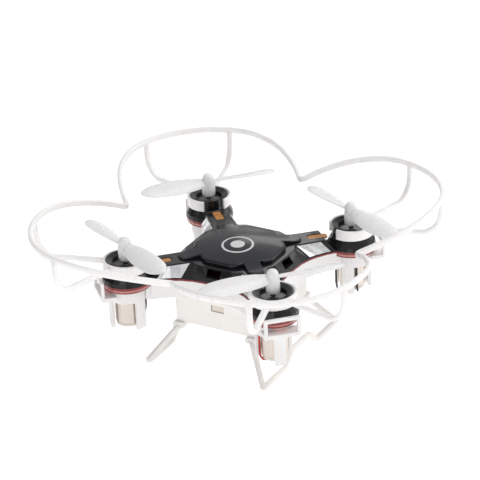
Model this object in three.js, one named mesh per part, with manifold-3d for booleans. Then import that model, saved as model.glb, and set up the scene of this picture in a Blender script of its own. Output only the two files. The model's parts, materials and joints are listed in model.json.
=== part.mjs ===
// Palm-size quadcopter with a clip-on propeller guard and landing skids.
// Millimetres, +Z up. The origin is on the floor, under the centre of the body.
import * as THREE from "three";
import { mergeVertices } from "three/addons/utils/BufferGeometryUtils.js";
import Module from "manifold-3d";

const wasm = await Module();
wasm.setup();

// ---------- driving dimensions ----------
const HALF_SPAN = 26.4;          // motor axis to the body's middle planes
const SHELL_SPLIT = 30.0;        // lower edge of the black upper shell
const DECK_TOP = 34.2;           // flat top of the four arms
const FLANK_BOTTOM = 29.8;       // height the flanks start from, just under the shell's edge
const FLANK_TOP = 34.5;          // height the sloping flanks aim at, just over the flat deck
const DECK_ROOF = 33.1;          // underside of the upper shell's roof
const SIDE_MID = 18.6;           // half width of the body halfway between two arms
const BELLY_BOTTOM = 23.5;       // underside of the white lower shell
const SHELL_WALL = 1.2;
const POD_RIM = 37.0;            // top of the cups around the propeller hubs
const CAN_RADIUS = 4.25;
const CAN_BOTTOM = 15.4;
const CAN_TOP = 34.5;
const CAGE_BOTTOM = 14.2;
const CAGE_RADIUS = 6.2;
const SHAFT_RADIUS = 0.5;
const HUB_BOTTOM = 36.8;
const HUB_TOP = 44.3;
const BLADE_HEIGHT = 41.2;
const BLADE_REACH = 23.4;
const RING_HEIGHT = 47.5;        // middle of the guard's hoop at its outermost point
const RING_RADIUS = 29.2;        // hoop's middle line around each motor axis
const STRUT_ANGLE = 30;          // guard struts, each side of the outward diagonal
const TRAY_HALF_X = 15.0;
const TRAY_HALF_Y = 17.4;
const TRAY_BOTTOM = 13.4;
const SKID_X = 21.0;             // middle of each skid rail
const SKID_HALF_LENGTH = 26.0;
const SCREW_AT = 17.0;

// The four pods: name, signs of X and Y, which way the propeller turns, blade direction.
const PODS = [
  { name: "front_left", sx: -1, sy: -1, turn: 1, blade: 149 },
  { name: "front_right", sx: 1, sy: -1, turn: -1, blade: 51 },
  { name: "rear_right", sx: 1, sy: 1, turn: 1, blade: 149 },
  { name: "rear_left", sx: -1, sy: 1, turn: -1, blade: 51 },
];

// ---------- helpers ----------
const rad = THREE.MathUtils.degToRad;

function solid(geometry) {
  const bare = geometry.clone();
  bare.deleteAttribute("normal");
  bare.deleteAttribute("uv");
  const merged = mergeVertices(bare, 1e-4);
  return new wasm.Manifold(new wasm.Mesh({
    numProp: 3,
    vertProperties: new Float32Array(merged.attributes.position.array),
    triVerts: new Uint32Array(merged.index.array),
  }));
}

// Booleans leave slivers on flat faces; merging the faces first lets simplify remove them.
function toGeometry(body) {
  const mesh = body.asOriginal().simplify(0.003).getMesh();
  const geometry = new THREE.BufferGeometry();
  geometry.setAttribute("position", new THREE.BufferAttribute(new Float32Array(mesh.vertProperties), 3));
  geometry.setIndex(new THREE.BufferAttribute(new Uint32Array(mesh.triVerts), 1));
  geometry.computeVertexNormals();
  return geometry;
}

function join(...bodies) {
  return bodies.reduce((sum, body) => sum.add(body));
}

// Moves every vertex of a geometry with a function of its position.
function warp(geometry, move) {
  const position = geometry.attributes.position;
  const point = new THREE.Vector3();
  for (let i = 0; i < position.count; i++) {
    point.fromBufferAttribute(position, i);
    move(point);
    position.setXYZ(i, point.x, point.y, point.z);
  }
  return geometry;
}

function box(x0, x1, y0, y1, z0, z1) {
  const geometry = new THREE.BoxGeometry(x1 - x0, y1 - y0, z1 - z0);
  return solid(geometry.translate((x0 + x1) / 2, (y0 + y1) / 2, (z0 + z1) / 2));
}

function cylinder(radius, z0, z1, x = 0, y = 0, sides = 20) {
  const geometry = new THREE.CylinderGeometry(radius, radius, z1 - z0, sides);
  return solid(geometry.rotateX(Math.PI / 2).translate(x, y, (z0 + z1) / 2));
}

function lathe(profile, sides = 24) {
  const points = profile.map(([r, z]) => new THREE.Vector2(r, z));
  return solid(new THREE.LatheGeometry(points, sides).rotateX(Math.PI / 2));
}

function prism(outline, z0, z1) {
  const shape = new THREE.Shape(outline.map(([x, y]) => new THREE.Vector2(x, y)));
  const geometry = new THREE.ExtrudeGeometry(shape, { depth: z1 - z0, bevelEnabled: false });
  return solid(geometry.translate(0, 0, z0));
}

// A solid between two outlines that have the same number of points.
function taper(lower, upper, z0, z1) {
  const shape = new THREE.Shape(lower.map(([x, y]) => new THREE.Vector2(x, y)));
  const geometry = new THREE.ExtrudeGeometry(shape, { depth: 1, bevelEnabled: false });
  const nearest = (p) => lower.reduce((best, [x, y], i) => {
    const gap = Math.hypot(p.x - x, p.y - y);
    return gap < best.gap ? { gap, i } : best;
  }, { gap: Infinity, i: 0 }).i;
  warp(geometry, (p) => {
    if (p.z > 0.5) {
      [p.x, p.y] = upper[nearest(p)];
      p.z = z1;
    } else {
      p.z = z0;
    }
  });
  return solid(geometry);
}

function roundedRectangle(halfX, halfY, radius, steps = 4) {
  const points = [];
  for (const [cx, cy, start] of [[1, 1, 0], [-1, 1, 90], [-1, -1, 180], [1, -1, 270]]) {
    for (let i = 0; i <= steps; i++) {
      const a = rad(start + 90 * i / steps);
      const x = cx * (halfX - radius) + radius * Math.cos(a);
      const y = cy * (halfY - radius) + radius * Math.sin(a);
      points.push([x, y]);
    }
  }
  return points;
}

// Ring segment between two angles in degrees.
function sector(inner, outer, from, to, z0, z1, steps = 24) {
  const angles = Array.from({ length: steps + 1 }, (_, i) => rad(from + (to - from) * i / steps));
  const outside = angles.map((a) => [outer * Math.cos(a), outer * Math.sin(a)]);
  const inside = angles.map((a) => [inner * Math.cos(a), inner * Math.sin(a)]).reverse();
  return prism([...outside, ...inside], z0, z1);
}

// Side profile drawn in radius and height, given a width, and turned about Z.
function fin(profile, width, angle) {
  const shape = new THREE.Shape(profile.map(([r, z]) => new THREE.Vector2(r, z)));
  const geometry = new THREE.ExtrudeGeometry(shape, { depth: width, bevelEnabled: false });
  geometry.translate(0, 0, -width / 2).rotateX(Math.PI / 2).rotateZ(rad(angle));
  return solid(geometry);
}

// Square bar between two points.
function bar(from, to, width, height) {
  const a = new THREE.Vector3(...from);
  const b = new THREE.Vector3(...to);
  const along = b.clone().sub(a);
  const side = new THREE.Vector3(0, 0, 1).cross(along).normalize();
  const up = along.clone().normalize().cross(side);
  const frame = new THREE.Matrix4().makeBasis(along.clone().normalize(), side, up);
  const geometry = new THREE.BoxGeometry(along.length(), width, height).applyMatrix4(frame);
  return solid(geometry.translate(...a.add(b).multiplyScalar(0.5).toArray()));
}

const place = (body, pod) => body.translate([pod.sx * HALF_SPAN, pod.sy * HALF_SPAN, 0]);
const outward = (pod) => THREE.MathUtils.radToDeg(Math.atan2(pod.sy, pod.sx));

// ---------- body outline ----------
// Samples along one side, from one pod (-1) over the middle (0) to the next pod (1).
const SIDE_STEPS = [-1, -0.86, -0.7, -0.554, -0.36, 0, 0.36, 0.554, 0.7, 0.86, 1];

// Lower edge of the flank on the +X side: a shallow curve that sweeps out to the pods.
function lowerEdge(t, inset = 0) {
  const y = 18.4 * t;
  return [SIDE_MID - inset + 6.6 * Math.abs(t) ** 2.6, y];
}

// Upper edge: a straight block in the middle, then the straight edge of the arm's deck.
function upperEdge(t, inset = 0) {
  const y = Math.abs(t) * 16.6;
  const block = 15.9;
  const arm = y + 5.2;
  let x = block;
  if (y > 6) x = block - (block - 14.4) * (y - 6) / 3.2;
  if (y > 9.2) x = arm;
  return [x - inset, Math.sign(t) * y];
}

// The same side turned four times about Z.
function fourSides(edge, inset) {
  const points = [];
  for (let turn = 0; turn < 4; turn++) {
    const a = turn * Math.PI / 2;
    for (const t of SIDE_STEPS) {
      const [x, y] = edge(t, inset);
      points.push([x * Math.cos(a) - y * Math.sin(a), x * Math.sin(a) + y * Math.cos(a)]);
    }
  }
  return points;
}

// The sloping body under all four flanks. A negative inset makes it larger.
function flanks(inset) {
  return taper(fourSides(lowerEdge, inset), fourSides(upperEdge, inset), FLANK_BOTTOM, FLANK_TOP);
}

// ---------- materials ----------
function paint(color, roughness, metalness = 0, opacity = 1) {
  return new THREE.MeshStandardMaterial({ color, roughness, metalness, opacity, transparent: opacity < 1 });
}

const gloss = paint(0x17181b, 0.22);
const satin = paint(0x1c1c1d, 0.5);
const white = paint(0xeeeae8, 0.45);
const milky = paint(0xe8e2dc, 0.4, 0, 0.9);
const blade = paint(0xe6e6e4, 0.35, 0, 0.85);
const red = paint(0xb01818, 0.2, 0, 0.7);
const steel = paint(0xc9c4ba, 0.3, 0.9);
const brass = paint(0xb08d57, 0.35, 0.9);
const foil = paint(0xb4b6b9, 0.35, 0.8);
const amber = paint(0xc77a2c, 0.4);
const dark = paint(0x222222, 0.6);
const copperRed = paint(0xa01418, 0.5);
const cable = paint(0x141414, 0.5);
const pouch = paint(0xb9bcc2, 0.3, 0.6);
const board = paint(0x7a1414, 0.5);

const drone = new THREE.Group();

function add(name, body, material) {
  const mesh = new THREE.Mesh(toGeometry(body), material);
  mesh.name = name;
  drone.add(mesh);
}

// ---------- upper shell ----------
// Flat faces are cut last with a plane, so that each one is a single clean polygon.
function upperShell() {
  let outer = flanks(0);
  let hollow = taper(fourSides(lowerEdge, 1.5), fourSides(upperEdge, 1.5), FLANK_BOTTOM - 0.1, FLANK_TOP);
  for (const pod of PODS) {
    outer = outer.subtract(windowPocket(pod, 3.3, 1.5, DECK_TOP - 0.7, DECK_TOP + 1));
    const [x, y] = [pod.sx * SCREW_AT, pod.sy * SCREW_AT];
    hollow = hollow.subtract(cylinder(1.6, SHELL_SPLIT + 0.05, 40, x, y, 12));
  }
  outer = outer.trimByPlane([0, 0, -1], -DECK_TOP).subtract(cylinder(8, DECK_ROOF - 1, FLANK_TOP + 1));
  hollow = hollow.trimByPlane([0, 0, -1], -DECK_ROOF);
  let shell = outer.subtract(hollow);
  for (const pod of PODS) {
    const ring = lathe([
      [0, FLANK_BOTTOM], [8.05, FLANK_BOTTOM], [7.7, SHELL_SPLIT + 1.2], [6.7, 33.1], [6.3, 33.5],
      [6.3, POD_RIM], [5.9, POD_RIM], [4.3, 36.2], [4.0, 35.3], [0, 35.3],
    ]);
    const bore = cylinder(4.45, SHELL_SPLIT - 1, 34.75, 0, 0, 24);
    const shaftHole = cylinder(0.9, 34, 36, 0, 0, 12);
    const inward = outward(pod) + 180;
    const clipRoom = sector(5.0, 7.6, inward + 28, inward + 332, 33.45, 34.6, 20);
    const pilot = cylinder(0.62, SHELL_SPLIT - 1, 32.9, pod.sx * SCREW_AT, pod.sy * SCREW_AT, 8);
    shell = shell.subtract(place(clipRoom, pod)).add(place(ring, pod));
    shell = shell.subtract(place(bore.add(shaftHole), pod));
    shell = shell.subtract(pilot);
  }
  for (let turn = 0; turn < 4; turn++) {
    shell = shell.subtract(box(13.4, 20, -2.5, 2.5, 31.3, 33.7).rotate([0, 0, 90 * turn]));
  }
  return shell.trimByPlane([0, 0, 1], SHELL_SPLIT);
}

// Rounded slot in the deck of one arm, between the canopy and the pod.
function windowPocket(pod, halfLength, halfWidth, z0, z1) {
  const middle = 25.9;
  const slot = prism(roundedRectangle(halfLength, halfWidth, 0.6, 2), z0, z1);
  return slot.translate([middle, 0, 0]).rotate([0, 0, outward(pod)]);
}

// ---------- canopy ----------
// Glossy lid: four straight sides, and a tongue that runs out along each arm.
function canopy() {
  const side = [
    [14.2, -4.6], [14.2, 4.6], [12.7, 7.0], [11.2, 7.6], [15.4, 11.8],
    [15.2, 13.4], [13.4, 15.2], [11.8, 15.4], [7.6, 11.2], [7.0, 12.7],
  ];
  const outline = [];
  for (let turn = 0; turn < 4; turn++) {
    const a = turn * Math.PI / 2;
    for (const [x, y] of side) {
      outline.push([x * Math.cos(a) - y * Math.sin(a), x * Math.sin(a) + y * Math.cos(a)]);
    }
  }
  const crown = lathe([
    [0, 34.25], [24, 34.25], [24, 34.75], [18, 34.9], [15, 35.35],
    [12, 36.1], [8, 36.8], [4, 37.15], [0, 37.25],
  ], 32);
  const under = lathe([[0, 34], [11.2, 34], [11.2, 35.1], [8, 35.8], [4, 36.2], [0, 36.3]], 20);
  return prism(outline, 34, 38).intersect(crown).subtract(under);
}

// ---------- lower shell with motor cages ----------
function motorCage(pod) {
  const angle = outward(pod);
  let cage = cylinder(CAGE_RADIUS, 23.7, 28.2, 0, 0, 24);
  for (const offset of [0, 120, 240]) {
    cage = cage.add(sector(5.1, CAGE_RADIUS, angle + offset - 18, angle + offset + 18, CAGE_BOTTOM, 24, 3));
  }
  const visor = join(
    box(5.0, 9.5, -5.8, 5.8, 25.4, 26.7),
    box(8.6, 9.5, -5.8, -4.7, 25.4, 32.0),
    box(8.6, 9.5, 4.7, 5.8, 25.4, 32.0),
    box(8.6, 9.5, -5.8, 5.8, 30.9, 32.0),
  );
  return cage.add(visor.rotate([0, 0, angle]));
}

function lowerShell() {
  const top = SHELL_SPLIT - 0.6;
  const outer = taper(fourSides(lowerEdge, 0.15), fourSides(lowerEdge, 0.15), BELLY_BOTTOM, top);
  const inside = fourSides(lowerEdge, 0.15 + SHELL_WALL);
  const hollow = taper(inside, inside, BELLY_BOTTOM + 1, top + 1);
  let shell = outer.subtract(hollow);
  for (const pod of PODS) {
    const [x, y] = [pod.sx * SCREW_AT, pod.sy * SCREW_AT];
    const boss = cylinder(1.9, BELLY_BOTTOM, top - 0.05, x, y, 10);
    const post = cylinder(1.2, BELLY_BOTTOM + 0.5, 25.95, pod.sx * 10.5, pod.sy * 10.5, 8);
    const neck = box(-10, -5, -4.2, 4.2, BELLY_BOTTOM, 28.2).rotate([0, 0, outward(pod)]);
    shell = shell.add(boss).add(post).add(place(neck.add(motorCage(pod)), pod));
    const bandRoom = cylinder(8.15, 27.95, 30.8, 0, 0, 24);
    const canBore = cylinder(4.5, 10, 31, 0, 0, 24);
    shell = shell.subtract(place(bandRoom.subtract(visorKeep(pod)), pod)).subtract(place(canBore, pod));
    shell = shell.subtract(cylinder(1.45, BELLY_BOTTOM - 1, 24.4, x, y, 10));
    shell = shell.subtract(cylinder(0.7, 24, 31, x, y, 8));
    shell = shell.subtract(leadPocket(pod)).subtract(leadHole(pod));
  }
  return shell;
}

// The visor's uprights stand outside the light band, so its cut leaves them alone.
function visorKeep(pod) {
  return box(8.5, 12, -7, 7, 25, 33).rotate([0, 0, outward(pod)]);
}

const INNER_LEAD = -90;          // motor lead inside the cage, from the outward diagonal
const OUTER_LEAD = -152;         // motor lead outside the cage

function leadPocket(pod) {
  return place(box(4.2, 5.5, -0.6, 0.6, 23, 25.3).rotate([0, 0, outward(pod) + INNER_LEAD]), pod);
}

function leadHole(pod) {
  return place(cylinder(0.6, 22, 24.3, 7.4, 0, 10).rotate([0, 0, outward(pod) + OUTER_LEAD]), pod);
}

// ---------- light band between the shells ----------
function lightBand() {
  const [low, high] = [SHELL_SPLIT - 0.57, SHELL_SPLIT - 0.03];
  const outer = taper(fourSides(lowerEdge, 0.05), fourSides(lowerEdge, 0.05), low, high);
  const inner = taper(fourSides(lowerEdge, 2.2), fourSides(lowerEdge, 2.2), low - 1, high + 1);
  let band = outer.subtract(inner);
  for (const pod of PODS) {
    band = band.add(place(lathe([[0, 28.0], [7.7, 28.0], [8.0, high], [0, high]]), pod));
    band = band.subtract(place(cylinder(4.6, 27, 31, 0, 0, 24), pod));
    band = band.subtract(place(box(5.4, 7.0, -1.0, 1.0, 27, 29.35).rotate([0, 0, outward(pod)]), pod));
  }
  return band;
}

// ---------- motor, shaft and propeller ----------
function motorCan() {
  const can = lathe([
    [0, CAN_BOTTOM], [CAN_RADIUS - 0.3, CAN_BOTTOM], [CAN_RADIUS, CAN_BOTTOM + 0.3],
    [CAN_RADIUS, CAN_TOP - 0.4], [CAN_RADIUS - 0.4, CAN_TOP], [0, CAN_TOP],
  ], 20);
  return can.subtract(cylinder(0.7, 30, 36, 0, 0, 10));
}

function endCap() {
  const top = CAN_BOTTOM - 0.03;
  return lathe([
    [0, top - 2.0], [0.9, top - 1.8], [1.3, top - 0.8], [4.05, top - 0.7], [4.05, top], [0, top],
  ], 16);
}

function propeller(turn) {
  const hub = lathe([
    [0, HUB_BOTTOM], [2.2, HUB_BOTTOM], [2.25, 39.0], [2.1, 41.8], [1.8, 43.3], [1.0, 44.1], [0, HUB_TOP],
  ], 16);
  let prop = hub;
  for (const side of [0, 180]) prop = prop.add(propellerBlade(turn).rotate([0, 0, side]));
  return prop.subtract(cylinder(SHAFT_RADIUS + 0.04, HUB_BOTTOM - 1, 42.1, 0, 0, 10));
}

// Twisted, rounded paddle. The chord widens towards the middle and the tip is round.
function propellerBlade(turn) {
  const geometry = new THREE.BoxGeometry(1, 1, 1, 10, 3, 1);
  return solid(warp(geometry, (p) => {
    const u = p.x + 0.5;
    const reach = 1.0 + (BLADE_REACH - 1.0) * (1 - (1 - u) ** 1.25);
    const along = (reach - 1) / (BLADE_REACH - 1);
    const belly = 3.4 + 4.0 * Math.sin(Math.PI * Math.min(along * 0.86, 0.9)) ** 0.8;
    const tip = along > 0.8 ? Math.sqrt(Math.max(1 - ((along - 0.8) / 0.215) ** 2, 0)) : 1;
    const chord = belly * tip;
    const pitch = rad(34 - 22 * along) * turn;
    const thickness = 0.9 - 0.4 * along;
    const across = p.y * chord;
    const camber = 0.5 * (1 - 4 * p.y * p.y) * tip;
    const lift = p.z * thickness + camber;
    p.x = reach;
    p.y = across * Math.cos(pitch) - lift * Math.sin(pitch);
    p.z = BLADE_HEIGHT + across * Math.sin(pitch) + lift * Math.cos(pitch);
  }));
}

// ---------- guard ----------
function hoopDip(angle) {
  return angle > 38 ? 7.1 * ((angle - 38) / 68) ** 1.7 : 0;
}

function hoopSwell(angle) {
  return angle > 80 ? 1.0 * ((angle - 80) / 25) ** 1.5 : 0;
}

function hoop(pod) {
  const angles = Array.from({ length: 28 }, (_, i) => -108 + 8 * i);
  const arc = (r) => angles.map((a) => [r * Math.cos(rad(a)), r * Math.sin(rad(a))]);
  const outline = [...arc(RING_RADIUS + 0.7), ...arc(RING_RADIUS - 0.7).reverse()];
  const shape = new THREE.Shape(outline.map(([x, y]) => new THREE.Vector2(x, y)));
  const geometry = new THREE.ExtrudeGeometry(shape, { depth: 2, bevelEnabled: false });
  warp(geometry, (p) => {
    const angle = Math.abs(THREE.MathUtils.radToDeg(Math.atan2(p.y, p.x)));
    const r = Math.hypot(p.x, p.y);
    const scale = (r + hoopSwell(angle)) / r;
    p.x *= scale;
    p.y *= scale;
    p.z += RING_HEIGHT - 1 - hoopDip(angle);
  });
  geometry.rotateZ(rad(outward(pod)));
  const reach = 90;
  const quarter = box(
    pod.sx > 0 ? -0.02 : -reach, pod.sx > 0 ? reach : 0.02,
    pod.sy > 0 ? -0.02 : -reach, pod.sy > 0 ? reach : 0.02, 0, 80);
  return place(solid(geometry), pod).intersect(quarter);
}

function strut(angle) {
  const profile = [
    [6.8, 34.7], [25.4, 34.7], [28.7, 38.4], [29.9, 42.0], [29.9, 47.2],
    [28.5, 47.2], [28.5, 42.4], [27.5, 39.2], [24.8, 36.3], [6.8, 36.3],
  ];
  return fin(profile, 1.9, angle);
}

function guard() {
  let frame = null;
  for (const pod of PODS) {
    const inward = outward(pod) + 180;
    const clip = sector(6.4, 7.25, inward + 29, inward + 331, 33.6, POD_RIM, 20);
    const arms = strut(outward(pod) - STRUT_ANGLE).add(strut(outward(pod) + STRUT_ANGLE));
    const quarter = place(clip.add(arms), pod).add(hoop(pod));
    frame = frame ? frame.add(quarter) : quarter;
  }
  for (let turn = 0; turn < 4; turn++) {
    frame = frame.add(box(40.4, 42.0, -0.9, 0.9, 39.7, 41.6).rotate([0, 0, 90 * turn]));
  }
  return frame;
}

// ---------- landing skid, one each side ----------
function skid(side) {
  const half = [
    [SKID_HALF_LENGTH, 0], [SKID_HALF_LENGTH, 2.2], [9.9, 2.2], [5.2, 6.4],
  ];
  const lower = [[10.8, 0], [6.0, 4.2]];
  const profile = [
    ...half, ...half.map(([y, z]) => [-y, z]).reverse(),
    ...lower.map(([y, z]) => [-y, z]), ...[...lower].reverse(),
  ];
  const shape = new THREE.Shape(profile.map(([y, z]) => new THREE.Vector2(y, z)));
  const rail = new THREE.ExtrudeGeometry(shape, { depth: 2.0, bevelEnabled: false });
  rail.rotateX(Math.PI / 2).rotateZ(Math.PI / 2).translate(SKID_X - 1.0, 0, 0);
  let body = solid(rail).add(box(11.0, 15.2, -18.6, 18.6, 11.3, TRAY_BOTTOM - 0.05));
  for (const end of [-1, 1]) {
    body = body.add(bar([12.8, end * 17.2, 12.3], [SKID_X, end * 24.9, 1.3], 2.2, 1.9));
  }
  body = body.intersect(box(0, 40, -40, 40, 0, 20));
  return side > 0 ? body : body.mirror([1, 0, 0]);
}

// ---------- battery tray and what is in it ----------
function batteryTray() {
  const top = BELLY_BOTTOM - 0.05;
  const outer = prism(roundedRectangle(TRAY_HALF_X, TRAY_HALF_Y, 1.8), TRAY_BOTTOM, top);
  const inner = prism(roundedRectangle(TRAY_HALF_X - 1, TRAY_HALF_Y - 1, 0.8, 2), TRAY_BOTTOM + 1, top + 1);
  const socketSlot = box(-1.3, 3.3, -20, -15, 19.4, 21.7);
  const switchSlot = box(-2.6, 2.6, 15, 20, 18.3, 20.5);
  return outer.subtract(inner).subtract(socketSlot).subtract(switchSlot);
}

function battery() {
  return prism(roundedRectangle(12, 13.6, 1.5, 3), TRAY_BOTTOM + 1.2, 22.0);
}

// ---------- small parts ----------
function screw() {
  const body = lathe([
    [0, 23.6], [0.8, 23.6], [1.2, 23.85], [1.2, 24.33], [0.55, 24.35], [0.55, 32.2], [0, 32.7],
  ], 8);
  const slot = box(-0.9, 0.9, -0.14, 0.14, 23, 23.9);
  const crossSlot = box(-0.14, 0.14, -0.9, 0.9, 23, 23.9);
  return body.subtract(slot).subtract(crossSlot);
}

// Thin metallic trim on the flank of one arm. side is 1 or -1 along the body's side.
function flankFoil(turn, side) {
  const skin = flanks(-0.38).subtract(flanks(-0.12));
  const corners = [[10.25, 30.45], [16.75, 30.45], [15.3, 33.85], [9.45, 33.85]];
  const shape = new THREE.Shape(corners.map(([y, z]) => new THREE.Vector2(y, z)));
  const patch = new THREE.ExtrudeGeometry(shape, { depth: 20, bevelEnabled: false });
  patch.rotateX(Math.PI / 2).rotateZ(Math.PI / 2).translate(10, 0, 0);
  const cutter = side > 0 ? solid(patch) : solid(patch).mirror([0, 1, 0]);
  return skin.intersect(cutter).rotate([0, 0, 90 * turn]);
}

function lead(points) {
  const path = new THREE.CatmullRomCurve3(points.map((p) => new THREE.Vector3(...p)), false, "centripetal");
  const section = new THREE.Shape(Array.from({ length: 6 }, (_, i) => {
    const a = rad(60 * i);
    return new THREE.Vector2(0.35 * Math.cos(a), 0.35 * Math.sin(a));
  }));
  return solid(new THREE.ExtrudeGeometry(section, { steps: 12, extrudePath: path, bevelEnabled: false }));
}

function innerLead(pod) {
  return lead([
    [4.87, 0, 25.0], [4.87, 0, 21.0], [4.9, 0, 17.5], [4.75, 0.2, 15.3], [3.9, 0.6, 14.2], [2.0, 1.0, 14.15],
  ]).rotate([0, 0, outward(pod) + INNER_LEAD]);
}

function outerLead(pod) {
  return lead([
    [7.4, 0, 24.0], [7.3, 0, 21.0], [7.2, -0.1, 18.0], [6.4, -0.2, 15.5], [4.6, 0, 14.2], [2.0, 0.2, 14.15],
  ]).rotate([0, 0, outward(pod) + OUTER_LEAD]);
}

// ---------- assembly ----------
add("top_shell", upperShell(), satin);
add("canopy", canopy(), gloss);
add("light_band", lightBand(), red);
add("bottom_shell", lowerShell(), white);
add("battery_tray", batteryTray(), white);
add("battery_pack", battery(), pouch);
add("circuit_board", prism(roundedRectangle(12.4, 12.4, 1.5, 2), 26.0, 26.8), board);
add("flight_chip", box(-3.5, 3.5, -3.5, 3.5, 26.83, 27.8), dark);
add("radio_chip", box(5.5, 9.5, -2.0, 2.0, 26.83, 27.6), dark);
add("charge_socket", box(-1.1, 3.1, -17.1, -14.0, 19.6, 21.5), white);
add("power_switch_body", box(-4.0, 4.0, 14.0, 16.15, 18.0, 20.8), dark);
add("power_switch_slider", box(-2.2, -0.4, 16.3, 18.0, 18.7, 20.1), dark);
add("propeller_guard", guard(), milky);
add("skid_left", skid(-1), milky);
add("skid_right", skid(1), milky);

PODS.forEach((pod, index) => {
  const { name } = pod;
  add(`motor_can_${name}`, place(motorCan(), pod), steel);
  add(`motor_cap_${name}`, place(endCap(), pod), amber);
  add(`motor_shaft_${name}`, place(cylinder(SHAFT_RADIUS, 30.3, 42.0, 0, 0, 10), pod), steel);
  add(`propeller_${name}`, place(propeller(pod.turn).rotate([0, 0, pod.blade]), pod), blade);
  add(`motor_lead_inner_${name}`, place(innerLead(pod), pod), index % 2 ? copperRed : cable);
  add(`motor_lead_outer_${name}`, place(outerLead(pod), pod), cable);
  const lamp = box(5.7, 6.8, -0.8, 0.8, 28.05, 29.15).rotate([0, 0, outward(pod)]);
  add(`led_${name}`, place(lamp, pod), copperRed);
  add(`arm_window_${name}`, windowPocket(pod, 3.12, 1.32, DECK_TOP - 0.65, DECK_TOP - 0.2), amber);
  add(`screw_${name}`, screw().translate([pod.sx * SCREW_AT, pod.sy * SCREW_AT, 0]), brass);
});

["right", "rear", "left", "front"].forEach((name, turn) => {
  add(`flank_foil_${name}_a`, flankFoil(turn, -1), foil);
  add(`flank_foil_${name}_b`, flankFoil(turn, 1), foil);
});

export default drone;
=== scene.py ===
# Looks for the palm quadcopter: materials, rounded guard, propellers, canopy, lights and camera.
import json
import math

import bmesh
import bpy
from mathutils import Matrix, Vector


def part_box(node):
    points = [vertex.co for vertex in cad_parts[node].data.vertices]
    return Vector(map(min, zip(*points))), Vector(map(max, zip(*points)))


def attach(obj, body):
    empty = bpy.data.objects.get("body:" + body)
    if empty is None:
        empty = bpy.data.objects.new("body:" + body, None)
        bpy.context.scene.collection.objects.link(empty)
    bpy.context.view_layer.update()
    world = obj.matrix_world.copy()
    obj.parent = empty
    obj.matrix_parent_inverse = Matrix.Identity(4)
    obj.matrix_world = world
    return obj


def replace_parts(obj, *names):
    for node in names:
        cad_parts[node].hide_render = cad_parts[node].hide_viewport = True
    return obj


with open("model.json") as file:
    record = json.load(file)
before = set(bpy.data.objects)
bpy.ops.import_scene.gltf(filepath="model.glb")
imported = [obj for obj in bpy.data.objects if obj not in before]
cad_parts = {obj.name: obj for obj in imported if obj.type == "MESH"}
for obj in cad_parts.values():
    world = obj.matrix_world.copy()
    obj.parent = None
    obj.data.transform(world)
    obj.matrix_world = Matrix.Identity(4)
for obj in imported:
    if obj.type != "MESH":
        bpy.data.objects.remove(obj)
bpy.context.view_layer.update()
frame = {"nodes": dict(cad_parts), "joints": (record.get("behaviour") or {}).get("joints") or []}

MM = 0.001
BODY = "airframe"

# ---------- sizes taken from the frame ----------
PODS = {}
for joint in frame["joints"]:
    if joint["type"] == "hinge":
        pod_name = joint["name"].replace("propeller_", "").replace("_spin", "")
        PODS[pod_name] = Vector((joint["pos_m"][0], joint["pos_m"][1], 0))
HALF_SPAN = abs(PODS["rear_right"].x)
GUARD_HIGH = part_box("propeller_guard")[1]
CANOPY_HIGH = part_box("canopy")[1]
BAND_LOW, BAND_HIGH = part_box("light_band")

# ---------- sizes of the rounded pieces ----------
HOOP_WIDTH = 1.4 * MM
HOOP_HEIGHT = 2.0 * MM
HOOP_RADIUS = GUARD_HIGH.x - HALF_SPAN - HOOP_WIDTH / 2
HOOP_LEVEL = GUARD_HIGH.z - HOOP_HEIGHT / 2
HOOP_REACH = 100.5                   # degrees each side of the outward diagonal, up to the bend
CUSP_DIP = 7.1 * MM                  # how far a hoop comes down towards the next one
DIP_START, DIP_SPAN = 38, 68         # degrees from the outward diagonal
CUSP_SWELL = 1.0 * MM                # how far it opens out there
SWELL_START, SWELL_SPAN = 80, 25
CUSP_BEND = 1.9 * MM                 # length of straight hoop that the bend between two hoops takes up
STRUT_ANGLE = 30                     # degrees each side of the outward diagonal
STRUT_LEVEL = 35.5 * MM
STRUT_KNEE = 25.0 * MM
KNEE_LOW, KNEE_HIGH = 37.6 * MM, 43.4 * MM
STRUT_WIDTH = 1.9 * MM
STRUT_THICKNESS = 1.5 * MM
CLIP_INNER = 6.4 * MM
CLIP_OUTER = 7.25 * MM
CLIP_LOW, CLIP_HIGH = 33.6 * MM, 37.0 * MM
CLIP_OPENING = 29                    # degrees each side of the inward diagonal
SKID_BAR = 1.7 * MM
SHOE_WIDTH, SHOE_HEIGHT = 3.8 * MM, 1.8 * MM
BLADE_ROOT, BLADE_REACH = 1.0 * MM, 23.4 * MM
BLADE_LEVEL = 41.2 * MM
CHORD_AT_ROOT, CHORD_SWELL = 3.4, 4.0                # mm
TIP_START, TIP_SPAN = 0.8, 0.205                     # shares of the blade's length
PITCH_AT_ROOT, PITCH_WASHOUT = 25, 16                # degrees
THICK_AT_ROOT, THICK_TAPER = 0.85, 0.4               # mm
CAMBER = 0.5 * MM
DECK_TOP = 34.2 * MM
CROWN_EDGE = 34.85 * MM              # height of the lid's surface at CROWN_REACH from its middle
CROWN_REACH = 18 * MM


# ---------- mesh helpers ----------
def finish_mesh(name, bm, material, body=BODY, smooth_angle=40):
    """Turns a bmesh into a piece that rides on a body, smooth except at its sharp edges."""
    bmesh.ops.remove_doubles(bm, verts=bm.verts, dist=1e-7)
    bmesh.ops.recalc_face_normals(bm, faces=bm.faces)
    mesh = bpy.data.meshes.new(name)
    bm.to_mesh(mesh)
    bm.free()
    mesh.shade_smooth()
    mesh.set_sharp_from_angle(angle=math.radians(smooth_angle))
    mesh.materials.append(material)
    piece = bpy.data.objects.new(name, mesh)
    bpy.context.scene.collection.objects.link(piece)
    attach(piece, body)
    return piece


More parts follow.
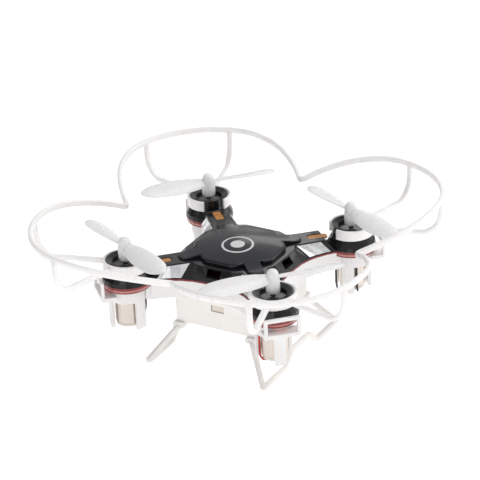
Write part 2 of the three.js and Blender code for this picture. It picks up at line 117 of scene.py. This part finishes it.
def rounded_section(width, height, radius, steps=3):
    """Corner-rounded rectangle as (across, up) pairs."""
    points = []
    corners = ((1, 1, 0), (-1, 1, 90), (-1, -1, 180), (1, -1, 270))
    for side, level, start in corners:
        for i in range(steps + 1):
            a = math.radians(start + 90 * i / steps)
            across = side * (width / 2 - radius) + radius * math.cos(a)
            up = level * (height / 2 - radius) + radius * math.sin(a)
            points.append((across, up))
    return points


def bend(start, corner, end, t):
    """Point at share t of the soft bend that replaces a corner."""
    return start * (1 - t) ** 2 + corner * 2 * t * (1 - t) + end * t * t


def join_loops(bm, loops):
    """Faces between neighbouring loops of equal length."""
    for first, second in zip(loops, loops[1:]):
        for i in range(len(first)):
            j = (i + 1) % len(first)
            bm.faces.new((first[i], first[j], second[j], second[i]))


def skin_rings(bm, rings):
    """Joins rings of equal length into a tube with closed ends."""
    made = [[bm.verts.new(p) for p in ring] for ring in rings]
    join_loops(bm, made)
    bm.faces.new(made[0])
    bm.faces.new(list(reversed(made[-1])))


def sweep_rings(path, section):
    """Rings of a section pushed along a path. Across is level, and up leans with the path."""
    up = Vector((0, 0, 1))
    rings = []
    for i, point in enumerate(path):
        before = path[max(i - 1, 0)]
        after = path[min(i + 1, len(path) - 1)]
        along = (after - before).normalized()
        across = along.cross(up).normalized()
        rise = across.cross(along)
        rings.append([point + across * a + rise * b for a, b in section])
    return rings


def revolve(bm, profile, steps):
    """Turns a profile of (radius, height) about Z. Points on the axis close the ends."""
    rings = []
    for i in range(steps):
        a = 2 * math.pi * i / steps
        rings.append([Vector((r * math.cos(a), r * math.sin(a), z)) for r, z in profile])
    made = [[bm.verts.new(p) for p in ring] for ring in rings]
    for i in range(steps):
        first, second = made[i], made[(i + 1) % steps]
        for k in range(len(profile) - 1):
            bm.faces.new((first[k], second[k], second[k + 1], first[k + 1]))
    bmesh.ops.remove_doubles(bm, verts=bm.verts, dist=1e-7)


def outward_angle(centre):
    return math.atan2(centre.y, centre.x)


# ---------- material helpers ----------
NOISE_LOW, NOISE_HIGH = 0.3, 0.7     # a noise factor seldom leaves this band
GLOSS_PATCH = 2.3                    # patches of gloss are this much finer than patches of tone
GRAIN_DEPTH = 0.05 * MM


def noise(nodes, links, vector, scale, detail=3.0):
    texture = nodes.new("ShaderNodeTexNoise")
    texture.inputs["Scale"].default_value = scale
    texture.inputs["Detail"].default_value = detail
    links.new(vector, texture.inputs["Vector"])
    return texture.outputs["Fac"]


def spread(nodes, links, factor, low, high):
    """Maps a noise factor onto a range of values."""
    node = nodes.new("ShaderNodeMapRange")
    node.inputs["From Min"].default_value = NOISE_LOW
    node.inputs["From Max"].default_value = NOISE_HIGH
    node.inputs["To Min"].default_value = low
    node.inputs["To Max"].default_value = high
    links.new(factor, node.inputs["Value"])
    return node.outputs["Result"]


def surface(name, color, roughness, tone=0.06, rough_share=0.25, patch=260, grain=2600,
            bump=0.05, stretch=(1, 1, 1), **sockets):
    """Moulded or drawn surface: soft colour drift, uneven gloss and a fine grain."""
    material = bpy.data.materials.new(name)
    material.use_nodes = True
    nodes, links = material.node_tree.nodes, material.node_tree.links
    shader = nodes["Principled BSDF"]
    place = nodes.new("ShaderNodeTexCoord")
    mapping = nodes.new("ShaderNodeMapping")
    mapping.inputs["Scale"].default_value = stretch
    links.new(place.outputs["Object"], mapping.inputs["Vector"])
    vector = mapping.outputs["Vector"]

    mix = nodes.new("ShaderNodeMix")
    mix.data_type = "RGBA"
    mix.inputs["A"].default_value = (*[c * (1 - tone) for c in color], 1)
    mix.inputs["B"].default_value = (*[min(c * (1 + tone), 1) for c in color], 1)
    drift = spread(nodes, links, noise(nodes, links, vector, patch), 0, 1)
    links.new(drift, mix.inputs["Factor"])
    links.new(mix.outputs["Result"], shader.inputs["Base Color"])

    low = roughness * (1 - rough_share)
    high = roughness * (1 + rough_share)
    uneven = spread(nodes, links, noise(nodes, links, vector, patch * GLOSS_PATCH, 5), low, high)
    links.new(uneven, shader.inputs["Roughness"])

    relief = nodes.new("ShaderNodeBump")
    relief.inputs["Strength"].default_value = bump
    relief.inputs["Distance"].default_value = GRAIN_DEPTH
    links.new(noise(nodes, links, vector, grain, 2), relief.inputs["Height"])
    links.new(relief.outputs["Normal"], shader.inputs["Normal"])

    for socket, value in sockets.items():
        shader.inputs[socket.replace("_", " ")].default_value = value
    return material


def layered(material, low, high, stops):
    """Replaces a material's base colour by a stack of colours up the piece's height."""
    nodes, links = material.node_tree.nodes, material.node_tree.links
    place = nodes.new("ShaderNodeTexCoord")
    split = nodes.new("ShaderNodeSeparateXYZ")
    links.new(place.outputs["Object"], split.inputs["Vector"])
    share = nodes.new("ShaderNodeMapRange")
    share.inputs["From Min"].default_value = low
    share.inputs["From Max"].default_value = high
    links.new(split.outputs["Z"], share.inputs["Value"])
    stack = nodes.new("ShaderNodeValToRGB")
    elements = stack.color_ramp.elements
    while len(elements) < len(stops):
        elements.new(1.0)
    for element, (position, color) in zip(elements, stops):
        element.position = position
        element.color = (*color, 1)
    links.new(share.outputs["Result"], stack.inputs["Fac"])
    links.new(stack.outputs["Color"], nodes["Principled BSDF"].inputs["Base Color"])


# ---------- materials ----------
EVEN_DEPTH = (1, 0.95, 0.9)          # light sinks into the milky plastics nearly equally in all colours
DEEP_RED = (0.21, 0.006, 0.006)
CLEAR_PINK = (0.50, 0.20, 0.18)
SHELL_BLACK = surface("shell_black", (0.007, 0.007, 0.008), 0.24, tone=0.10, rough_share=0.12,
                      bump=0.004, Coat_Weight=0.3, Coat_Roughness=0.08, Specular_IOR_Level=0.34)
CANOPY_BLACK = surface("canopy_gloss", (0.005, 0.006, 0.010), 0.20, tone=0.12, bump=0.005,
                       Coat_Weight=0.25, Coat_Roughness=0.08, Specular_IOR_Level=0.30)
BAND_RED = surface("band_red", DEEP_RED, 0.14, patch=420, Coat_Weight=0.4)
SHELL_WHITE = surface("shell_white", (0.86, 0.85, 0.84), 0.34, tone=0.012, bump=0.03,
                      Subsurface_Weight=0.15, Subsurface_Scale=0.6 * MM, Subsurface_Radius=EVEN_DEPTH)
TRAY_WHITE = surface("tray_white", (0.93, 0.90, 0.87), 0.34, tone=0.012, bump=0.03)
GUARD_MILKY = surface("guard_milky", (0.93, 0.91, 0.90), 0.32, tone=0.015, bump=0.02,
                      Subsurface_Weight=0.30, Subsurface_Scale=1.0 * MM, Subsurface_Radius=EVEN_DEPTH)
# The skids get a darker copy of the guard's milky plastic. The darkening is painted shade, so they show
# against the bright floor.
SKID_SHADED_MILKY = surface("skid_milky", (0.84, 0.815, 0.79), 0.36, tone=0.015, bump=0.02,
                     Subsurface_Weight=0.30, Subsurface_Scale=1.0 * MM, Subsurface_Radius=EVEN_DEPTH)
BLADE_MILKY = surface("propeller_plastic", (0.85, 0.84, 0.84), 0.26, tone=0.010, bump=0.008, patch=120,
                      Subsurface_Weight=0.25, Subsurface_Scale=0.8 * MM, Subsurface_Radius=EVEN_DEPTH)
MOTOR_METAL = surface("motor_metal", (0.70, 0.63, 0.57), 0.32, tone=0.06, stretch=(1, 1, 0.06),
                      grain=5200, Metallic=0.70)
CAP_PLASTIC = surface("cap_plastic", (0.80, 0.76, 0.70), 0.42, tone=0.05)
SHAFT_STEEL = surface("shaft_steel", (0.62, 0.62, 0.63), 0.22, tone=0.05, stretch=(1, 1, 0.1), Metallic=1.0)
FOIL = surface("foil_silver", (0.92, 0.92, 0.94), 0.30, tone=0.05, patch=120, stretch=(1, 1, 6), grain=5200,
               bump=0.02, Metallic=0.90)
AMBER = surface("window_amber", (0.50, 0.22, 0.06), 0.38, tone=0.22, patch=900, bump=0.02,
                Subsurface_Weight=0.15, Subsurface_Scale=0.5 * MM)
POUCH = surface("pouch", (0.55, 0.57, 0.60), 0.3, tone=0.08, bump=0.25, grain=900, Metallic=0.8)
BOARD = surface("board", (0.20, 0.012, 0.012), 0.35, tone=0.3, patch=1500)
CHIP = surface("chip", (0.02, 0.02, 0.02), 0.5, tone=0.2)
SOCKET = surface("socket_plastic", (0.78, 0.72, 0.62), 0.45, tone=0.05)
SWITCH = surface("switch_black", (0.02, 0.02, 0.021), 0.42, tone=0.2)
LEAD_RED = surface("lead_red", (0.42, 0.012, 0.012), 0.42, tone=0.15)
LEAD_BLACK = surface("lead_black", (0.015, 0.015, 0.016), 0.4, tone=0.2)
LED_RED = surface("led_red", (0.9, 0.06, 0.03), 0.15, tone=0.2, Emission_Color=(1, 0.10, 0.05, 1),
                  Emission_Strength=1.2)
BRASS = surface("screw_brass", (0.55, 0.42, 0.22), 0.3, tone=0.1, Metallic=1.0)
MARK_WHITE = surface("mark_white", (0.66, 0.66, 0.67), 0.4, tone=0.1, patch=1800)

# The light band is pink between a deep red lip and a red foot.
layered(BAND_RED, BAND_LOW.z, BAND_HIGH.z, (
    (0.0, DEEP_RED), (0.16, DEEP_RED), (0.30, CLEAR_PINK),
    (0.48, CLEAR_PINK), (0.62, DEEP_RED), (1.0, DEEP_RED)))

# Kept CAD nodes: the start of the node's name, its material and the width of its edge bevel in mm.
KEPT = (
    ("top_shell", SHELL_BLACK, 0.12),
    ("light_band", BAND_RED, 0),
    ("bottom_shell", SHELL_WHITE, 0.22),
    ("battery_tray", TRAY_WHITE, 0.25),
    ("battery_pack", POUCH, 0.5),
    ("circuit_board", BOARD, 0),
    ("flight_chip", CHIP, 0.1),
    ("radio_chip", CHIP, 0.1),
    ("charge_socket", SOCKET, 0.1),
    ("power_switch", SWITCH, 0.15),
    ("motor_can", MOTOR_METAL, 0),
    ("motor_cap", CAP_PLASTIC, 0),
    ("motor_shaft", SHAFT_STEEL, 0),
    ("motor_lead_outer", LEAD_BLACK, 0),
    ("motor_lead_inner", LEAD_BLACK, 0),
    ("led", LED_RED, 0.15),
    ("arm_window", AMBER, 0.1),
    ("screw", BRASS, 0),
    ("flank_foil", FOIL, 0.08),
)
RED_LEADS = ("motor_lead_inner_front_right", "motor_lead_inner_rear_left")


def dress(name, node, material, bevel):
    """Gives a CAD node its material, smooth curves and softly rounded edges."""
    node.data.materials.clear()
    node.data.materials.append(LEAD_RED if name in RED_LEADS else material)
    node.data.shade_smooth()
    node.data.set_sharp_from_angle(angle=math.radians(32))
    if bevel:
        rounding = node.modifiers.new("edges", "BEVEL")
        rounding.width = bevel * MM
        rounding.segments = 2
        rounding.limit_method = "ANGLE"
        rounding.angle_limit = math.radians(50)
        rounding.harden_normals = True


def dress_kept_nodes():
    for name, node in frame["nodes"].items():
        for start, material, bevel in KEPT:
            if name.startswith(start):
                dress(name, node, material, bevel)


# ---------- guard ----------
def hoop_point(angle):
    """Point of a hoop's middle line, from its motor axis, for an angle from the outward diagonal."""
    turn = abs(math.degrees(angle))
    dip = CUSP_DIP * (max(turn - DIP_START, 0) / DIP_SPAN) ** 1.7
    swell = CUSP_SWELL * (max(turn - SWELL_START, 0) / SWELL_SPAN) ** 1.5
    radius = HOOP_RADIUS + swell
    return Vector((radius * math.cos(angle), radius * math.sin(angle), HOOP_LEVEL - dip))


def bend_to_plane(path):
    """Ends a path in half of a soft bend that meets its mirror image on the nearest middle plane."""
    last, before = path[-1], path[-2]
    along = (last - before).normalized()
    axis = 0 if abs(last.x) < abs(last.y) else 1
    corner = last - along * (last[axis] / along[axis])
    start = corner - along * CUSP_BEND
    mirrored = start.copy()
    mirrored[axis] = -start[axis]
    steps = 6
    return path + [bend(start, corner, mirrored, 0.5 * i / steps) for i in range(steps + 1)]


def hoop(name, centre):
    steps = 110
    reach = math.radians(HOOP_REACH)
    turn = Matrix.Rotation(outward_angle(centre), 4, "Z")
    path = []
    for i in range(steps + 1):
        path.append(centre + turn @ hoop_point(-reach + 2 * reach * i / steps))
    path = bend_to_plane(path)
    path = bend_to_plane(path[::-1])
    bm = bmesh.new()
    skin_rings(bm, sweep_rings(path, rounded_section(HOOP_WIDTH, HOOP_HEIGHT, 0.45 * MM)))
    return finish_mesh(f"guard_hoop_{name}", bm, GUARD_MILKY)


def strut_line():
    """Side view of a strut as (distance from the motor axis, height) points."""
    knee_start = Vector((STRUT_KNEE - 1 * MM, STRUT_LEVEL))
    knee_corner = Vector((HOOP_RADIUS - 0.2 * MM, KNEE_LOW))
    knee_end = Vector((HOOP_RADIUS, KNEE_HIGH))
    steps = 8
    line = [Vector((CLIP_OUTER - 0.3 * MM, STRUT_LEVEL)), Vector((STRUT_KNEE * 0.6, STRUT_LEVEL))]
    line += [bend(knee_start, knee_corner, knee_end, i / steps) for i in range(steps + 1)]
    line.append(Vector((HOOP_RADIUS, HOOP_LEVEL - 0.4 * MM)))
    return line


def strut(name, centre, side):
    """Flat arm from the clip, bent up through a soft knee to the hoop."""
    line = strut_line()
    turn = Matrix.Rotation(outward_angle(centre) + math.radians(side * STRUT_ANGLE), 4, "Z")
    section = rounded_section(STRUT_WIDTH, STRUT_THICKNESS, 0.4 * MM)
    rings = []
    for i, (radius, level) in enumerate(line):
        before, after = line[max(i - 1, 0)], line[min(i + 1, len(line) - 1)]
        along = Vector((after.x - before.x, 0, after.y - before.y)).normalized()
        rise = Vector((-along.z, 0, along.x))
        middle = Vector((radius, 0, level))
        rings.append([centre + turn @ (middle + Vector((0, a, 0)) + rise * b) for a, b in section])
    bm = bmesh.new()
    skin_rings(bm, rings)
    return finish_mesh(f"guard_strut_{name}_{'a' if side < 0 else 'b'}", bm, GUARD_MILKY)


def clip(name, centre):
    """Spring ring round the pod, open towards the middle of the body."""
    steps = 60
    opening = math.radians(CLIP_OPENING)
    inward = outward_angle(centre) + math.pi
    section = rounded_section(CLIP_OUTER - CLIP_INNER, CLIP_HIGH - CLIP_LOW, 0.22 * MM)
    radius = (CLIP_INNER + CLIP_OUTER) / 2
    rings = []
    for i in range(steps + 1):
        a = inward + opening + (2 * math.pi - 2 * opening) * i / steps
        out = Vector((math.cos(a), math.sin(a), 0))
        middle = centre + out * radius + Vector((0, 0, (CLIP_LOW + CLIP_HIGH) / 2))
        rings.append([middle + out * across + Vector((0, 0, up)) for across, up in section])
    bm = bmesh.new()
    skin_rings(bm, rings)
    return finish_mesh(f"guard_clip_{name}", bm, GUARD_MILKY)


def build_guard():
    for name, centre in PODS.items():
        pieces = [hoop(name, centre), clip(name, centre)]
        pieces += [strut(name, centre, -1), strut(name, centre, 1)]
        for piece in pieces:
            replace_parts(piece, "propeller_guard")


# ---------- skids ----------
def softened(corners, reach):
    """Open path with its corners rounded off."""
    path = [corners[0]]
    for before, corner, after in zip(corners, corners[1:], corners[2:]):
        start = corner + (before - corner).normalized() * reach
        end = corner + (after - corner).normalized() * reach
        steps = 4
        path += [bend(start, corner, end, k / steps) for k in range(steps + 1)]
    path.append(corners[-1])
    return path


def skid(name, side):
    """One bent bar with two splayed legs, and the shoe that holds it under the tray."""
    half = ((12.9, 17.4, 12.2), (21, 25.1, 0.85), (21, 10.4, 0.85), (21, 5.7, 5.3))
    corners = [Vector((side * x, y, z)) * MM for x, y, z in half]
    corners += [Vector((side * x, -y, z)) * MM for x, y, z in reversed(half)]
    bm = bmesh.new()
    path = softened(corners, 0.9 * MM)
    skin_rings(bm, sweep_rings(path, rounded_section(SKID_BAR, SKID_BAR, 0.4 * MM)))
    shoe = [Vector((side * 13.1, y, 12.4)) * MM for y in (-18.5, -9, 0, 9, 18.5)]
    skin_rings(bm, sweep_rings(shoe, rounded_section(SHOE_WIDTH, SHOE_HEIGHT, 0.4 * MM)))
    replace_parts(finish_mesh(f"{name}_bar", bm, SKID_SHADED_MILKY), name)


# ---------- propellers ----------
def blade_direction(node, centre):
    """Angle of the CAD blade, from the point of it that reaches furthest out."""
    points = [v.co - centre for v in frame["nodes"][node].data.vertices]
    furthest = max(points, key=lambda p: p.xy.length)
    return math.atan2(furthest.y, furthest.x)


def blade(bm, turn, direction):
    """Twisted paddle: the chord swells, the tip is round and the pitch washes out."""
    along_steps, across_steps = 28, 10
    spin = Matrix.Rotation(direction, 4, "Z")

    def point(u, v, side):
        """Skin point at u along the blade and v across it, above (side 1) or below (side -1)."""
        share = 1 - (1 - u) ** 1.25
        reach = BLADE_ROOT + (BLADE_REACH - BLADE_ROOT) * share
        belly = (CHORD_AT_ROOT + CHORD_SWELL * math.sin(math.pi * min(share * 0.86, 0.9)) ** 0.8) * MM
        past_tip_start = max(share - TIP_START, 0) / TIP_SPAN
        tip = math.sqrt(max(1 - past_tip_start ** 2, 0))
        pitch = math.radians(PITCH_AT_ROOT - PITCH_WASHOUT * share) * turn
        edge = math.sqrt(max(1 - (2 * v) ** 2, 0))
        thickness = (THICK_AT_ROOT - THICK_TAPER * share) * MM
        thickness *= (0.25 + 0.75 * edge) * (0.3 + 0.7 * tip)     # thin at both edges and at the tip
        camber = CAMBER * (1 - 4 * v * v) * tip
        across = v * belly * tip
        lift = camber + side * thickness / 2
        y = across * math.cos(pitch) - lift * math.sin(pitch)
        z = BLADE_LEVEL + across * math.sin(pitch) + lift * math.cos(pitch)
        return spin @ Vector((reach, y, z))

    rings = []
    for i in range(along_steps + 1):
        u = i / along_steps
        upper = [point(u, -0.5 + k / across_steps, 1) for k in range(across_steps + 1)]
        lower = [point(u, 0.5 - k / across_steps, -1) for k in range(across_steps + 1)]
        rings.append(upper + lower)
    skin_rings(bm, rings)


# Radius and height in mm.
HUB_PROFILE = ((0, 36.85), (2.1, 36.85), (2.22, 37.0), (2.25, 39.0), (2.16, 41.0), (2.0, 42.3),
               (1.72, 43.3), (1.3, 43.92), (0.7, 44.22), (0, 44.3))


def propeller(name, centre):
    node = f"propeller_{name}"
    turn = 1 if centre.x * centre.y > 0 else -1
    direction = blade_direction(node, centre)
    bm = bmesh.new()
    revolve(bm, [(r * MM, z * MM) for r, z in HUB_PROFILE], 32)
    for start in (direction, direction + math.pi):
        blade(bm, turn, start)
    bmesh.ops.translate(bm, verts=bm.verts, vec=centre)
    piece = finish_mesh(f"propeller_{name}_shape", bm, BLADE_MILKY,
                        body=f"propeller_{name}_rotor", smooth_angle=50)
    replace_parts(piece, node)


# ---------- canopy ----------
def canopy_crown(radius):
    """Height of the lid's surface at a distance from its middle."""
    share = min(radius / CROWN_REACH, 1)
    return CROWN_EDGE + (CANOPY_HIGH.z - CROWN_EDGE) * (1 - share * share) ** 1.3


def canopy_outline():
    """Four straight sides and four tongues, as in the CAD node, with rounded corners."""
    side = ((14.2, -4.6), (14.2, 4.6), (12.7, 7.0), (11.2, 7.6), (15.4, 11.8), (15.2, 13.4),
            (13.4, 15.2), (11.8, 15.4), (7.6, 11.2), (7.0, 12.7))
    corners = []
    for turn in range(4):
        spin = Matrix.Rotation(turn * math.pi / 2, 2)
        corners += [spin @ Vector(p) * MM for p in side]
    points = []
    for i, corner in enumerate(corners):
        before = corners[i - 1]
        after = corners[(i + 1) % len(corners)]
        reach = min(0.7 * MM, (before - corner).length * 0.4, (after - corner).length * 0.4)
        start = corner + (before - corner).normalized() * reach
        end = corner + (after - corner).normalized() * reach
        steps = 3
        points += [bend(start, corner, end, k / steps) for k in range(steps + 1)]
    return points


def canopy():
    outline = canopy_outline()
    # Share of the outline, and how far below the crown in mm. None stands for the deck.
    levels = ((1.0, None), (1.0, 0.45), (0.996, 0.22), (0.985, 0.07), (0.965, 0.0))
    levels += tuple((share, 0.0) for share in (0.93, 0.86, 0.78, 0.69, 0.59, 0.48, 0.36, 0.24, 0.12))
    rings = []
    for share, drop in levels:
        ring = []
        for p in outline:
            spot = p * share
            height = DECK_TOP + 0.05 * MM if drop is None else canopy_crown(spot.length) - drop * MM
            ring.append(Vector((spot.x, spot.y, height)))
        rings.append(ring)
    bm = bmesh.new()
    skin_rings(bm, rings)
    piece = finish_mesh("canopy_lid", bm, CANOPY_BLACK, smooth_angle=60)
    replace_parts(piece, "canopy")


def crown_patch(name, outline):
    """Thin printed shape that follows the lid, from loops of equal length."""
    lift = 0.035 * MM
    bm = bmesh.new()
    loops = []
    for loop in outline:
        loops.append([bm.verts.new((p.x, p.y, canopy_crown(p.length) + lift)) for p in loop])
    join_loops(bm, loops)
    finish_mesh(name, bm, MARK_WHITE)


def emblem():
    """Plain generic mark: a ring with a smaller disc in it."""
    middle = Vector((1.0, -3.0)) * MM
    circle = [Vector((math.cos(a), math.sin(a))) for a in (2 * math.pi * i / 64 for i in range(64))]
    outer = [[middle + p * r * MM for p in circle] for r in (5.2, 4.85, 4.5)]
    inner = [[middle + p * r * MM for p in circle] for r in (2.3, 1.6, 0.9, 0.05)]
    crown_patch("canopy_mark_ring", outer)
    crown_patch("canopy_mark_disc", inner)


# ---------- stage ----------
def floor():
    bm = bmesh.new()
    bmesh.ops.create_grid(bm, x_segments=2, y_segments=2, size=20)
    mesh = bpy.data.meshes.new("studio_floor")
    bm.to_mesh(mesh)
    bm.free()
    plane = bpy.data.objects.new("studio_floor", mesh)
    plane.location.z = -0.02 * MM
    material = surface("studio_floor", (0.93, 0.93, 0.93), 0.7, tone=0.005, patch=3, grain=40,
                       Emission_Color=(1, 1, 1, 1), Emission_Strength=0.42)
    mesh.materials.append(material)
    bpy.context.scene.collection.objects.link(plane)


def softbox(name, position, size, power):
    light = bpy.data.lights.new(name, "AREA")
    light.shape = "RECTANGLE"
    light.size, light.size_y = size
    light.energy = power
    lamp = bpy.data.objects.new(name, light)
    lamp.location = position
    lamp.rotation_euler = (Vector((0, 0, 0.03)) - Vector(position)).to_track_quat("-Z", "Y").to_euler()
    bpy.context.scene.collection.objects.link(lamp)


BRIGHT_SIDE = (0.30, 0.45, 0.84)         # the room is brightest above, behind and to the right


def studio():
    world = bpy.data.worlds.new("studio")
    world.use_nodes = True
    nodes, links = world.node_tree.nodes, world.node_tree.links
    where = nodes.new("ShaderNodeTexCoord")
    toward = nodes.new("ShaderNodeVectorMath")
    toward.operation = "DOT_PRODUCT"
    toward.inputs[1].default_value = BRIGHT_SIDE
    ramp = nodes.new("ShaderNodeValToRGB")
    ramp.color_ramp.elements[0].position = 0.0
    ramp.color_ramp.elements[0].color = (0.24, 0.24, 0.25, 1)
    ramp.color_ramp.elements[1].position = 0.70
    ramp.color_ramp.elements[1].color = (1.0, 1.0, 1.0, 1)
    links.new(where.outputs["Generated"], toward.inputs[0])
    links.new(toward.outputs["Value"], ramp.inputs["Fac"])
    links.new(ramp.outputs["Color"], nodes["Background"].inputs["Color"])
    nodes["Background"].inputs["Strength"].default_value = 0.70
    bpy.context.scene.world = world
    softbox("softbox_top", (0.16, 0.16, 0.58), (0.42, 0.42), 1.10)
    softbox("softbox_right", (0.42, 0.42, 0.30), (0.30, 0.30), 0.60)
    softbox("softbox_front", (0.12, -0.65, 0.20), (0.55, 0.30), 0.95)
    softbox("softbox_back", (-0.19, 0.46, 0.27), (0.14, 0.12), 0.07)
    floor()


def camera():
    """Level-headed studio camera at the picture's angle, with its slight roll."""
    azimuth, elevation, roll = math.radians(30.15), math.radians(25.95), math.radians(-2.30)
    back = Vector((math.sin(azimuth) * math.cos(elevation), -math.cos(azimuth) * math.cos(elevation),
                   math.sin(elevation)))
    right = Vector((math.cos(azimuth), math.sin(azimuth), 0))
    up = back.cross(right)
    rolled_right = right * math.cos(roll) + up * math.sin(roll)
    rolled_up = -right * math.sin(roll) + up * math.cos(roll)
    distance = 28.466 * HALF_SPAN
    aside = 0.0197 * HALF_SPAN
    below = -0.3565 * HALF_SPAN
    aim = Vector((0, 0, HOOP_LEVEL)) + rolled_right * aside + rolled_up * below
    lens = bpy.data.cameras.new("camera")
    lens.lens = 178.3
    lens.sensor_width = 36
    lens.clip_start = 0.01
    viewer = bpy.data.objects.new("camera", lens)
    spin = Matrix((rolled_right, rolled_up, back)).transposed().to_4x4()
    viewer.matrix_world = Matrix.Translation(aim + back * distance) @ spin
    bpy.context.scene.collection.objects.link(viewer)
    bpy.context.scene.camera = viewer


dress_kept_nodes()
build_guard()
for pod_name, pod_centre in PODS.items():
    propeller(pod_name, pod_centre)
skid("skid_right", 1)
skid("skid_left", -1)
canopy()
emblem()
studio()
camera()
bpy.context.scene.view_settings.view_transform = "Standard"

bpy.context.view_layer.update()
